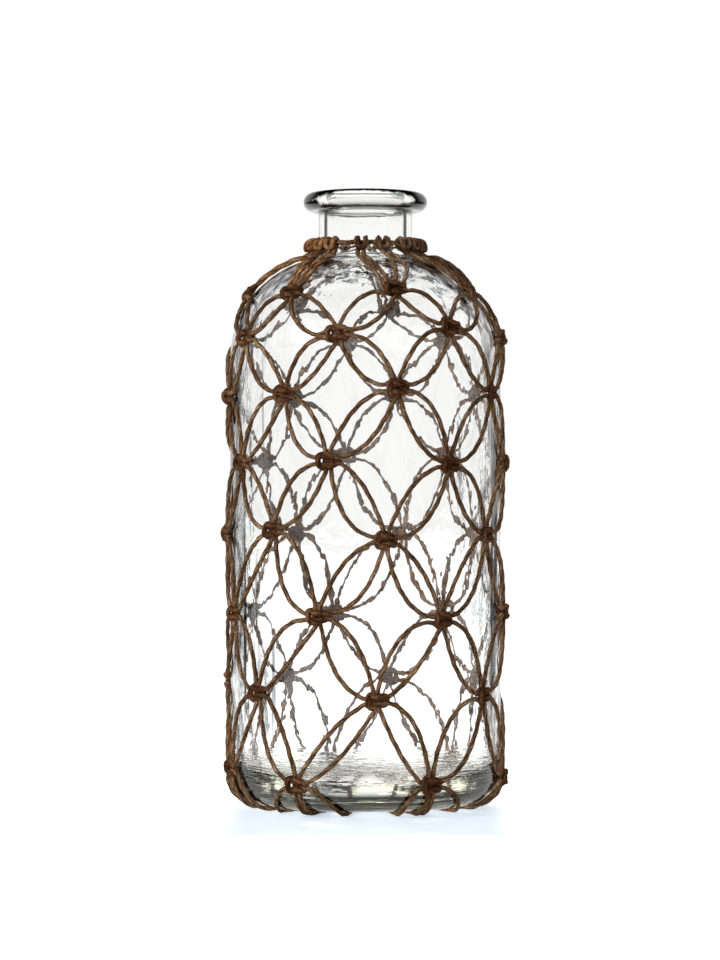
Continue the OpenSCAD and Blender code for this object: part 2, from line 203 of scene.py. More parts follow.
def bottle_section():
    """The outside from the middle of the base up to the lip, and the inside back down to the axis."""
    turn = math.degrees(SHOULDER_TURN)
    lip_r = LIP_H / 2
    inner_r = BODY_R - WALL
    outside = [
        dome(FOOT_R - FOOT_W, PUNT_H, 0),
        arc(FOOT_R, HEEL_R, HEEL_R, -90, 0),
        arc(SHOULDER_X, SHOULDER_Z, SHOULDER_R, 0, turn),
        arc(ROOT_X, ROOT_Z, ROOT_R, 180 + turn, 180)[1:],
        [(NECK_R, GLASS_H - LIP_H - 1.0)],
        arc(NECK_R + 1.5, GLASS_H - LIP_H - 1.0, 1.5, 180, 100, 0.5)[1:],
        arc(LIP_R - lip_r, GLASS_H - lip_r, lip_r, -90, 90, 0.6),
    ]
    inside = [
        arc(BORE_R + RIM_R, GLASS_H - RIM_R, RIM_R, 90, 180, 0.6),
        arc(ROOT_X, ROOT_Z, ROOT_R + WALL, 180, 180 + turn, 0.9),
        arc(SHOULDER_X, SHOULDER_Z, SHOULDER_R - WALL, turn, 0)[1:],
        arc(inner_r - FLOOR_R, BASE_T + FLOOR_R, FLOOR_R, 0, -90),
        list(reversed(dome(inner_r - FLOOR_R, FLOOR_RISE, BASE_T)))[1:],
    ]
    points = []
    for stretch in outside + inside:
        if points:
            points += line(points[-1], stretch[0])
        points += stretch
    return points


def make_bottle():
    bm = bmesh.new()
    ring = [bm.verts.new((r * MM, 0, (z + FOOT_Z) * MM)) for r, z in bottle_section()]
    edges = [bm.edges.new(pair) for pair in zip(ring, ring[1:])]
    bmesh.ops.spin(
        bm, geom=ring + edges, cent=(0, 0, 0), axis=(0, 0, 1), dvec=(0, 0, 0),
        angle=2 * math.pi, steps=GLASS_TURNS, use_merge=True, use_duplicate=False,
    )
    bmesh.ops.remove_doubles(bm, verts=bm.verts, dist=0.00002)
    bmesh.ops.recalc_face_normals(bm, faces=bm.faces)
    bm.normal_update()
    inner = bm.verts.layers.float.new("inner")
    crown = bm.verts.layers.float.new("crown")
    for v in bm.verts:
        place = v.co / MM
        r, z = math.hypot(place.x, place.y), place.z - FOOT_Z
        v[inner] = 1.0 if glass_inside(r, z) or (r < FOOT_R and z < PUNT_H + 1) else 0.0
        v[crown] = 1.0 if z > GLASS_H - LIP_H - 1 and r > BORE_R + RIM_R else 0.0
        v.co += v.normal * glass_wave(place) * MM
    for f in bm.faces:
        f.smooth = True
    return new_piece("blown_glass", bm)


def glass_wave(p):
    """How far blown glass stands off its true form: long waves all over, and short ones inside."""
    r = math.hypot(p.x, p.y)
    long_wave = noise.noise(Vector((p.x / 30, p.y / 30, p.z / 70)))
    short_wave = noise.noise(Vector((p.x / 7 + 9, p.y / 7, p.z / 9)))
    ripple = noise.noise(Vector((p.x / 3.5, p.y / 3.5 + 5, p.z / 4.5)))
    edge = min(1, r / 8)
    if glass_inside(r, p.z - FOOT_Z):
        return edge * (0.16 * long_wave + 0.05 * short_wave + 0.012 * ripple)
    return edge * (0.05 * long_wave + 0.012 * short_wave)


def glass_inside(r, z):
    """Whether a point of the glass is on its inner surface."""
    if z > GLASS_H - LIP_H:
        return False
    return r < BORE_R + 0.6 if z > ROOT_Z else r < wall_radius(z) - WALL / 2 and z > PUNT_H + 1


def wall_radius(z):
    """Outer radius of the glass at a height below the root of the neck."""
    if z > SHOULDER_Z:
        up = min(z - SHOULDER_Z, SHOULDER_R * 0.999)
        return SHOULDER_X + math.sqrt(SHOULDER_R ** 2 - up ** 2)
    if z < HEEL_R:
        return FOOT_R + math.sqrt(max(0, HEEL_R ** 2 - (HEEL_R - z) ** 2))
    return BODY_R


def new_piece(name, bm):
    mesh = bpy.data.meshes.new(name)
    bm.to_mesh(mesh)
    bm.free()
    piece = bpy.data.objects.new(name, mesh)
    bpy.context.scene.collection.objects.link(piece)
    return piece


# Where the cords lie


def wall_at(down):
    """Radius, height and outward normal on the outside of the glass, down from the neck's root."""
    if down < ROOT_END:
        a = math.pi + down / ROOT_R
        n = (-math.cos(a), -math.sin(a))
        return ROOT_X - ROOT_R * n[0], ROOT_Z - ROOT_R * n[1], n[0], n[1]
    if down < SHOULDER_END:
        a = SHOULDER_TURN - (down - ROOT_END) / SHOULDER_R
        return SHOULDER_X + SHOULDER_R * math.cos(a), SHOULDER_Z + SHOULDER_R * math.sin(a), math.cos(a), math.sin(a)
    if down < BODY_END:
        return BODY_R, SHOULDER_Z - (down - SHOULDER_END), 1.0, 0.0
    a = -min(down - BODY_END, FOOT_END - BODY_END) / HEEL_R
    return FOOT_R + HEEL_R * math.cos(a), HEEL_R + HEEL_R * math.sin(a), math.cos(a), math.sin(a)


def around(turn, r, z):
    a = math.radians(turn)
    return np.array([r * math.sin(a), -r * math.cos(a), z])


def bead(spot):
    """A point of a cord's middle line from its place on the wall: point, facing, thickness and painted shade."""
    turn, down, height, thick, painted_shading = spot
    r, z, nr, nz = wall_at(down)
    point = around(turn, r + height * nr, z + height * nz + FOOT_Z)
    return np.concatenate([point, around(turn, nr, nz), [thick, painted_shading]])


def moved(spot, across, along):
    """A place on the wall, moved by real lengths to the right and down."""
    return spot[0] + math.degrees(across / wall_at(spot[1])[0]), spot[1] + along


def knot(row, i):
    laps, column = divmod(i, COLUMNS)
    turn, down = KNOTS[row][column]
    return turn + 360 * laps, down * STRETCH


def cord_side(cord, row):
    return -1 if (cord + row) % 2 == 0 else 1


def cord_knot(cord, row):
    return knot(row, (cord - row % 2) // 2)


def works(cord, row, strand):
    """Whether this strand of the cord works round the knot. The other is a filler."""
    return cord_side(cord, row) == strand


def wander(row, cord, strand, size):
    """A small steady difference between one hand-tied place and another."""
    return random.Random(f"{row} {cord} {strand}").uniform(-size, size)


def knot_tilt(cord, row):
    place = cord_knot(cord, row)
    return wander(row, round(place[0] % 360), 0, 0.09)


def in_knot(cord, row, across, along):
    """A place in a knot, which is turned a little as a hand left it."""
    a = knot_tilt(cord, row)
    return moved(
        cord_knot(cord, row),
        across * math.cos(a) - along * math.sin(a),
        across * math.sin(a) + along * math.cos(a),
    )


def gate(cord, row, strand, way):
    """Where a strand comes into a knot (way -1) or leaves it (way 1)."""
    if not works(cord, row, strand):
        across, along = FILLER_GATE
    elif row == 0 and way < 0:
        across, along = TOP_GATE
    else:
        across, along = GATE
    return in_knot(cord, row, cord_side(cord, row) * across, way * along)


def swing(start, end, works_first, bow, shares):
    """Places on a bowed curve between two places. Its working end turns towards the horizontal."""
    radius = (wall_at(start[1])[0] + wall_at(end[1])[0]) / 2
    across = math.radians(end[0] - start[0]) * radius
    along = end[1] - start[1]
    chord = math.hypot(across, along)
    slant = math.degrees(math.atan2(abs(across), along))
    side = math.copysign(1, across)
    work = (slant + WORK_TURN * bow, WORK_REACH * chord)
    fill = (slant - FILLER_TURN * bow, FILLER_REACH * chord)
    first, last = (work, fill) if works_first else (fill, work)
    p1 = moved(start, side * first[1] * sin_deg(first[0]), first[1] * cos_deg(first[0]))
    p2 = moved(end, -side * last[1] * sin_deg(last[0]), -last[1] * cos_deg(last[0]))
    places = []
    for t in shares:
        u = 1 - t
        weights = (u * u * u, 3 * u * u * t, 3 * u * t * t, t * t * t)
        turn = sum(w * p[0] for w, p in zip(weights, (start, p1, p2, end)))
        down = sum(w * p[1] for w, p in zip(weights, (start, p1, p2, end)))
        places.append((turn, down, LIFT, 1.0, 0.0))
    return places


def sin_deg(a):
    return math.sin(math.radians(a))


def cos_deg(a):
    return math.cos(math.radians(a))


def bow(cord, row, strand):
    """How much a strand bows below a knot of this row. No two are quite alike."""
    if (row, cord) in BOWS:
        return BOWS[row, cord][(strand + 1) // 2]
    return NECK_BOW if row < 0 else 0.9 + wander(row, cord, strand + 5, 0.3)


def knot_places(cord, row, strand):
    """A strand's places through a knot, from the top down."""
    side = cord_side(cord, row)
    if works(cord, row, strand):
        shape = FRONT_WORK if side < 0 else BACK_WORK
        mirror = 1
    else:
        shape = FILLER
        mirror = side
    slack = random.Random(f"knot {row} {cord} {strand}")
    places = []
    for across, along, height, thick in shape:
        across = mirror * across * KNOT_WIDE + slack.uniform(-KNOT_SLACK, KNOT_SLACK)
        along = along * KNOT_TALL + slack.uniform(-KNOT_SLACK, KNOT_SLACK)
        turn, down = in_knot(cord, row, across, along)
        # 1.0: the cord swells in the knot, and its colour gets full painted shade.
        places.append((turn, down, height * slack.uniform(0.92, 1.12), thick, 1.0))
    return places


def hitch_gate(cord, strand):
    return moved((HITCHES[cord] + LEAN.get(cord, 0), HITCH_FOOT), strand * 1.1, 0)


def foot_gate(cord, strand):
    side = cord_side(cord, LAST_ROW)
    swing_out = FOOT_SWING * FOOT_SWINGS.get(cord, 1.0) if works(cord, LAST_ROW, strand) else 1.6
    return cord_knot(cord, LAST_ROW)[0] + side * swing_out, FOOT_END


def shares(count):
    return [i / count for i in range(1, count)]


def strand_places(cord, strand):
    """All the places of a strand on the wall, from below its hitch to the edge of the foot."""
    start = hitch_gate(cord, strand)
    places = [(*start, LIFT, 1.0, 0.0)]
    stack = STACK.get(cord, 0)
    # The left cords keep some painted light down to their first knot.
    tone = PAINTED_LIGHT_CORDS.get(cord, 0) * PAINTED_LIGHT_BELOW
    for turn, down, height, thick, _ in swing(start, gate(cord, 0, strand, -1), False, bow(cord, -1, strand), shares(8)):
        places.append((turn, down, height + stack, thick, tone))
    for row in range(LAST_ROW + 1):
        places += knot_places(cord, row, strand)
        leaving = gate(cord, row, strand, 1)
        first = works(cord, row, strand)
        curve = [0] + shares(9) + [1]
        if row < LAST_ROW:
            places += swing(leaving, gate(cord, row + 1, strand, -1), first, bow(cord, row, strand), curve)
        else:
            places += swing(leaving, foot_gate(cord, strand), True, 0.9 if first else 0.1, curve[:-1])
    end = foot_gate(cord, strand)
    places.append((*end, 0.7, 0.8, 0.0))
    return places


def smooth_path(points, fine):
    """A Catmull-Rom curve through points, a row each, with a point about every fine units."""
    points = np.array(points, float)
    padded = np.vstack([2 * points[0] - points[1], points, 2 * points[-1] - points[-2]])
    out = []
    for i in range(1, len(padded) - 2):
        p0, p1, p2, p3 = padded[i - 1:i + 3]
        count = max(2, math.ceil(fine(p1, p2)))
        for k in range(count):
            t = k / count
            out.append(
                0.5 * (2 * p1 + (p2 - p0) * t + (2 * p0 - 5 * p1 + 4 * p2 - p3) * t * t
                       + (3 * p1 - p0 - 3 * p2 + p3) * t ** 3)
            )
    out.append(points[-1])
    return np.array(out)


def wall_steps(p, q):
    across = math.radians(q[0] - p[0]) * wall_at(p[1])[0]
    return math.hypot(across, q[1] - p[1]) / 0.7


def space_steps(p, q):
    return float(np.linalg.norm(q[:3] - p[:3])) / 0.7


def strand_beads(cord, strand):
    return np.array([bead(s) for s in smooth_path(strand_places(cord, strand), wall_steps)])


def hitch_bead(cord, angle, reach, aside, strand, thick):
    a = math.radians(angle)
    turn = HITCHES[cord] + strand * math.degrees(aside / NECK_CORD_R)
    n = (math.cos(a), math.sin(a))
    point = around(turn, NECK_CORD_R + reach * n[0], NECK_CORD_Z + reach * n[1] + FOOT_Z)
    # The hitch's colour gets painted shade, and on the left cords painted light instead.
    return np.concatenate([point, around(turn, *n), [thick, PAINTED_LIGHT_CORDS.get(cord, HITCH_PAINTED_SHADE)]])


def hitch_beads(cord, strand):
    """Half of a hitch, from behind the neck cord over its top to the bar in front."""
    bends = [hitch_bead(cord, a, r, x, strand, 0.95) for a, r, x in HITCH_BENDS + HITCH_BAR]
    return bends


def under_beads(cord, strand):
    """The run under the base, from the edge of the foot in to the bundle."""
    turn = foot_gate(cord, strand)[0]
    runs = [(FOOT_R - 3, 1.1, 0.86), (FOOT_R - FOOT_W, 1.12, 0.86), (30, 1.4, 1.0), (20, 2.0, 1.0), (12, 2.7, 0.9),
            (7, 2.9, 0.8)]
    down = np.array([0, 0, -1.0])
    return [np.concatenate([around(turn, r, z), down, [thick, 0.0]]) for r, z, thick in runs]


def cord_beads(cord):
    """The whole doubled cord, from the bundle up over the hitch and back to the bundle."""
    halves = []
    for strand in (-1, 1):
        wall = strand_beads(cord, strand)
        top = smooth_path(hitch_beads(cord, strand)[::-1] + list(wall[:3]), space_steps)[:-7]
        under = smooth_path(list(wall[-3:]) + under_beads(cord, strand), space_steps)[6:]
        halves.append(np.vstack([top, wall[1:-1], under]))
    return np.vstack([halves[0][::-1], halves[1]])


def even_steps(beads, step):
    """The same path with its points a step apart, and its kinks eased."""
    for _ in range(3):
        beads[1:-1] = 0.25 * beads[:-2] + 0.5 * beads[1:-1] + 0.25 * beads[2:]
    lengths = np.linalg.norm(np.diff(beads[:, :3], axis=0), axis=1)
    along = np.concatenate([[0], np.cumsum(lengths)])
    count = int(along[-1] / step)
    wanted = np.linspace(0, along[-1], count + 1)
    even = np.stack([np.interp(wanted, along, beads[:, i]) for i in range(beads.shape[1])], axis=1)
    return even, wanted


# Cords


PLY_PITCH = 7.0
PLY_DEPTH = 0.13
UNEVEN = 0.07


def lumps(along, seed, size):
    """Smooth random unevenness along a cord, about 1."""
    rng = np.random.RandomState(seed)
    total = np.ones(len(along))
    for wave, share in ((2.3, 0.35), (5.5, 0.4), (14.0, 0.25)):
        knots = rng.uniform(-1, 1, int(along[-1] / wave) + 3)
        total += size * share * np.interp(along / wave, np.arange(len(knots)), knots)
    return total


def sweep(name, beads, along, seed, radius=CORD_R):
    """A twisted cord of three plies swept along the beads, as a closed mesh with a UV map."""
    points = beads[:, :3]
    tangent = np.gradient(points, axis=0)
    tangent /= np.linalg.norm(tangent, axis=1)[:, None]
    facing = beads[:, 3:6]
    facing = facing - (facing * tangent).sum(1)[:, None] * tangent
    facing /= np.linalg.norm(facing, axis=1)[:, None]
    aside = np.cross(tangent, facing)
    thick = beads[:, 6]
    wide = 1 / np.sqrt(thick)
    far = np.clip(beads[:, 4], 0, 1)
    size = radius * lumps(along, seed, UNEVEN * 2) * (1 + KNOT_SWELL * np.abs(beads[:, 7])) * (1 - FAR_THIN * far)
    angles = np.linspace(0, 2 * math.pi, SIDES, endpoint=False) + math.pi
    phase = 2 * math.pi * along / PLY_PITCH
    lobes = 1 - PLY_DEPTH + PLY_DEPTH * np.cos(3 * angles[None, :] - phase[:, None])
    r = size[:, None] * lobes
    out = facing[:, None, :] * (r * thick[:, None] * np.cos(angles))[:, :, None]
    out += aside[:, None, :] * (r * wide[:, None] * np.sin(angles))[:, :, None]
    verts = (points[:, None, :] + out).reshape(-1, 3) * MM
    count = len(points)
    ring = np.arange(SIDES)
    nxt = (ring + 1) % SIDES
    base = (np.arange(count - 1) * SIDES)[:, None]
    quads = np.stack([base + ring, base + nxt, base + SIDES + nxt, base + SIDES + ring], axis=2).reshape(-1, 4)
    faces = quads.tolist()
    faces.append(list(range(SIDES))[::-1])
    faces.append([(count - 1) * SIDES + i for i in range(SIDES)])
    mesh = bpy.data.meshes.new(name)
    mesh.from_pydata(verts.tolist(), [], faces)
    mesh.validate()
    around_share = np.tile(np.stack([ring, ring + 1, ring + 1, ring], axis=1), (count - 1, 1)).reshape(-1) / SIDES
    starts = np.repeat(along[:-1], SIDES)
    ends = np.repeat(along[1:], SIDES)
    run = np.stack([starts, starts, ends, ends], axis=1).reshape(-1) / 10
    uv = np.zeros((len(mesh.loops), 2))
    uv[:len(run), 0] = run
    uv[:len(run), 1] = around_share
    layer = mesh.uv_layers.new(name="cord")
    layer.data.foreach_set("uv", uv.astype(np.float32).ravel())
    # Per point, how much painted shade the cord's colour gets. Values below 0 give painted light instead.
    painted_shading = mesh.attributes.new("painted_shading", "FLOAT", "POINT")
    painted_shading.data.foreach_set("value", np.repeat(beads[:, 7], SIDES).astype(np.float32))
    mesh.polygons.foreach_set("use_smooth", np.ones(len(mesh.polygons), bool))
    piece = bpy.data.objects.new(name, mesh)
    bpy.context.scene.collection.objects.link(piece)
    return piece


def make_net():
    """The fourteen cords, and the stretches of them that lie under the base."""
    net, runs = [], []
    for cord in range(CORDS):
        beads, along = even_steps(cord_beads(cord), STEP)
        low = np.hypot(beads[:, 0], beads[:, 1]) < FOOT_R
        under = low & (beads[:, 2] < 4)
        first = int(np.argmin(under))
        last = len(under) - int(np.argmin(under[::-1]))
        net.append(sweep(f"knotted_cord_{cord + 1:02d}", beads[first:last], along[first:last], cord))
        runs.append(sweep(f"run_{cord}_a", beads[:first + 1], along[:first + 1], cord))
        runs.append(sweep(f"run_{cord}_b", beads[last - 1:], along[last - 1:], cord))
    return net, runs


def make_neck_cord():
    """The cord tied round the root of the neck, with its ends crossed and hanging at the back."""
    places = [
        (-9, 27.6, ROOT_Z - 4.0, 1.0), (-6, NECK_CORD_R + 2.8, ROOT_Z - 1.2, 0.9),
        (-1.5, NECK_CORD_R + 2.4, ROOT_Z + 1.6, 0.85), (3, NECK_CORD_R + 0.2, ROOT_Z + 2.6, 0.85),
        (9, NECK_CORD_R, NECK_CORD_Z, 1.0),
    ]
    turns = [(turn, NECK_CORD_R, NECK_CORD_Z, 1.0) for turn in range(16, 348, 8)]
    places += turns
    places += [
        (351, NECK_CORD_R, NECK_CORD_Z, 1.0), (357, NECK_CORD_R + 0.2, ROOT_Z + 0.4, 0.85),
        (361.5, NECK_CORD_R + 2.4, ROOT_Z - 0.2, 0.85), (365, NECK_CORD_R + 3.9, ROOT_Z - 2.0, 0.9),
        (369, 28.6, ROOT_Z - 4.6, 1.0),
    ]
    beads = []
    # The 0.2 below paints a little shade into the neck cord's colour.
    for turn, r, z, thick in places:
        beads.append(np.concatenate([around(TIE_TURN + turn, r, z + FOOT_Z), around(turn + TIE_TURN, 1, 0), [thick, 0.2]]))
    beads, along = even_steps(smooth_path(beads, space_steps), STEP)
    return sweep("neck_tie_cord", beads, along, 40)


def make_bundle(runs):
    """The cords' ends under the base, bound flat by a coil of cord on each side of them."""
    coils = []
    for name, z, outer, seed in (("coil_low", 1.25, 10.8, 50), ("coil_high", 4.1, 8.5, 51)):
        beads = []
        for i in range(int((outer - 2) / 2.0 * 24)):
            turn = i * 15
            beads.append(np.concatenate([around(turn, 2 + 2.0 * turn / 360, z), [0, 0, -1.0], [0.9, 0.0]]))
        beads, along = even_steps(np.array(beads), STEP)
        coils.append(sweep(name, beads, along, seed))
    return join("bundle_under_base", runs + coils)


def join(name, parts):
    bpy.ops.object.select_all(action="DESELECT")
    for part in parts:
        part.select_set(True)
    bpy.context.view_layer.objects.active = parts[0]
    bpy.ops.object.join()
    parts[0].name = name
    parts[0].data.name = name
    return parts[0]


# Finishes


def new_material(name):
    material = bpy.data.materials.new(name)
    material.use_nodes = True
    nodes = material.node_tree.nodes
    return material, nodes, material.node_tree.links, nodes["Principled BSDF"]


def glass_material():
    """Clear glass with an uneven inside, and edges painted dark in streaks as they face away: painted shade for the
    dark surroundings the glass bends into view.
    """
    material, nodes, links, shader = new_material("clear_green_glass")
    shader.inputs["Transmission Weight"].default_value = 1.0
    shader.inputs["Roughness"].default_value = 0.0
    shader.inputs["IOR"].default_value = 1.5
    place = nodes.new("ShaderNodeTexCoord").outputs["Object"]
    parts = nodes.new("ShaderNodeSeparateXYZ")
    links.new(place, parts.inputs["Vector"])
    height = parts.outputs["Z"]
    facing = nodes.new("ShaderNodeLayerWeight")
    facing.inputs["Blend"].default_value = 0.5

    def attribute(name):
        node = nodes.new("ShaderNodeAttribute")
        node.attribute_name = name
        return node.outputs["Fac"]

    face = facing.outputs["Facing"]
    inner = attribute("inner")
    outer = math_node(nodes, links, "SUBTRACT", 1.0, inner)
    # Painted shade: the body's colour turns dark in streaks where it faces away, in place of the dark surroundings the
    # glass bends into view. The thick part near the foot is left clear of it.
    streaks = noise_node(nodes, links, place, 200.0, 2.5, (1.0, 1.0, 0.06))
    body_edge_shade = math_node(nodes, links, "MULTIPLY_ADD", streaks, 2.0, -1.0)
    body_edge_shade = math_node(nodes, links, "ADD", face, body_edge_shade)
    body = ramp_node(nodes, links, body_edge_shade, (0.62, (1, 1, 1)), (0.74, (0.25, 0.26, 0.28)), (0.9, (0.004, 0.004, 0.004)))
    # Painted shade: thin dark lines where the neck's outside faces away, for the dark surroundings its walls bend into
    # view.
    neck = ramp_node(nodes, links, face, (0.39, (1, 1, 1)), (0.44, (0.01, 0.01, 0.01)), (0.51, (0.01, 0.01, 0.01)),
                     (0.56, (1, 1, 1)), (0.78, (1, 1, 1)), (0.9, (0.01, 0.01, 0.01)))
    neck = mix_node(nodes, links, "MIX", outer, (1.0, 1.0, 1.0), neck)
    # Painted shade: the lip turns black at its ends and edges as it faces away, its lower part darker still, and the
    # bore grey to near black.
    mottle = noise_node(nodes, links, place, 330.0, 2.0)
    lip_edge = math_node(nodes, links, "MULTIPLY_ADD", mottle, 0.4, -0.2)
    lip_edge = math_node(nodes, links, "ADD", face, lip_edge)
    lip = ramp_node(nodes, links, lip_edge, (0.28, (1, 1, 1)), (0.35, (0.15, 0.15, 0.14)), (0.41, (0.0, 0.0, 0.0)))
    bore = ramp_node(nodes, links, lip_edge, (0.2, (1, 1, 1)), (0.42, (0.2, 0.2, 0.19)), (0.75, (0.06, 0.06, 0.06)))
    under_lip_shade = range_node(nodes, links, height, 0.2472, 0.2442)
    lip = mix_node(nodes, links, "MULTIPLY", under_lip_shade, lip, (0.12, 0.12, 0.105))
    lip = mix_node(nodes, links, "MIX", attribute("crown"), bore, lip)
    at_neck = range_node(nodes, links, height, (ROOT_Z + 2) * MM, (ROOT_Z + 6) * MM)
    at_lip = range_node(nodes, links, height, (GLASS_H - LIP_H - 0.5) * MM, (GLASS_H - LIP_H + 1.5) * MM)
    thick_part = range_node(nodes, links, height, 0.030, 0.020)
    body = mix_node(nodes, links, "MIX", thick_part, body, (1.0, 1.0, 1.0))
    colour = mix_node(nodes, links, "MIX", at_neck, body, neck)
    colour = mix_node(nodes, links, "MIX", at_lip, colour, lip)

    # Thin level bands. Low on the foot's outside they paint black and pale yellow streaks into the colour: painted dark
    # and light for what the thick base bends into view. In the thick part they also make bumps, as waves in the glass.
    layers = noise_node(nodes, links, place, 1.0, 3.0, (48.0, 48.0, 600.0))
    foot = ramp_node(nodes, links, layers, (0.475, (0.0, 0.0, 0.0)), (0.495, (0.2, 0.21, 0.13)),
                     (0.525, (0.97, 0.99, 0.70)))
    low = range_node(nodes, links, height, 0.0125, 0.0085)
    colour = mix_node(nodes, links, "MULTIPLY", math_node(nodes, links, "MULTIPLY", low, outer), colour, foot)
    links.new(colour, shader.inputs["Base Color"])

    ripple = noise_node(nodes, links, place, 280.0, 1.2, (1.0, 1.0, 0.8))
    relief = math_node(nodes, links, "MULTIPLY", ripple, 0.00007)
    waves = math_node(nodes, links, "MULTIPLY", math_node(nodes, links, "MULTIPLY", layers, thick_part), 0.0005)
    bump = nodes.new("ShaderNodeBump")
    bump.inputs["Distance"].default_value = 1.0
    links.new(math_node(nodes, links, "MAXIMUM", inner, thick_part), bump.inputs["Strength"])
    links.new(math_node(nodes, links, "ADD", relief, waves), bump.inputs["Height"])
    links.new(bump.outputs["Normal"], shader.inputs["Normal"])

    shadow = nodes.new("ShaderNodeLightPath").outputs["Is Shadow Ray"]
    links.new(math_node(nodes, links, "MULTIPLY_ADD", shadow, -0.9, 1.0), shader.inputs["Alpha"])

    absorb = nodes.new("ShaderNodeVolumeAbsorption")
    absorb.inputs["Color"].default_value = (0.72, 0.80, 0.55, 1)
    absorb.inputs["Density"].default_value = 7.0
    links.new(absorb.outputs["Volume"], nodes["Material Output"].inputs["Volume"])
    return material


def math_node(nodes, links, operation, *values):
    """A maths node. A value is a number or another node's output."""
    node = nodes.new("ShaderNodeMath")
    node.operation = operation
    for socket, value in zip(node.inputs, values):
        if isinstance(value, (int, float)):
            socket.default_value = value
        else:
            links.new(value, socket)
    return node.outputs["Value"]


def range_node(nodes, links, value, start, end):
    """0 at the start of a range and 1 at its end, with soft ends."""
    node = nodes.new("ShaderNodeMapRange")
    node.interpolation_type = "SMOOTHSTEP"
    node.inputs["From Min"].default_value = min(start, end)
    node.inputs["From Max"].default_value = max(start, end)
    node.inputs["To Min"].default_value = 0.0 if start < end else 1.0
    node.inputs["To Max"].default_value = 1.0 if start < end else 0.0
    links.new(value, node.inputs["Value"])
    return node.outputs["Result"]


def ramp_node(nodes, links, fac, *stops):
    """Colours for a value, each at its position."""
    node = nodes.new("ShaderNodeValToRGB")
    ends = node.color_ramp.elements
    ends[0].position, ends[0].color = stops[0][0], (*stops[0][1], 1)
    ends[1].position, ends[1].color = stops[-1][0], (*stops[-1][1], 1)
    for position, colour in stops[1:-1]:
        ends.new(position).color = (*colour, 1)
    links.new(fac, node.inputs["Fac"])
    return node.outputs["Color"]


def mix_node(nodes, links, kind, fac, a, b):
    """Two colours mixed. Either is fixed or another node's output, and so is the share."""
    node = nodes.new("ShaderNodeMix")
    node.data_type = "RGBA"
    node.blend_type = kind
    if isinstance(fac, float):
        node.inputs["Factor"].default_value = fac
    else:
        links.new(fac, node.inputs["Factor"])
    for socket, value in (("A", a), ("B", b)):
        target = [s for s in node.inputs if s.name == socket and s.type == "RGBA"][0]
        if isinstance(value, tuple):
            target.default_value = (*value, 1)
        else:
            links.new(value, target)
    return [s for s in node.outputs if s.type == "RGBA"][0]


def noise_node(nodes, links, vector, scale, detail, stretch=None, turn=0.0):
    """A noise texture on a vector, which is stretched and turned first."""
    node = nodes.new("ShaderNodeTexNoise")
    node.inputs["Scale"].default_value = scale
    node.inputs["Detail"].default_value = detail
    if stretch:
        mapping = nodes.new("ShaderNodeMapping")
        mapping.inputs["Scale"].default_value = stretch
        mapping.inputs["Rotation"].default_value = (0, 0, turn)
        links.new(vector, mapping.inputs["Vector"])
        vector = mapping.outputs["Vector"]
    links.new(vector, node.inputs["Vector"])
    return node.outputs["Fac"]


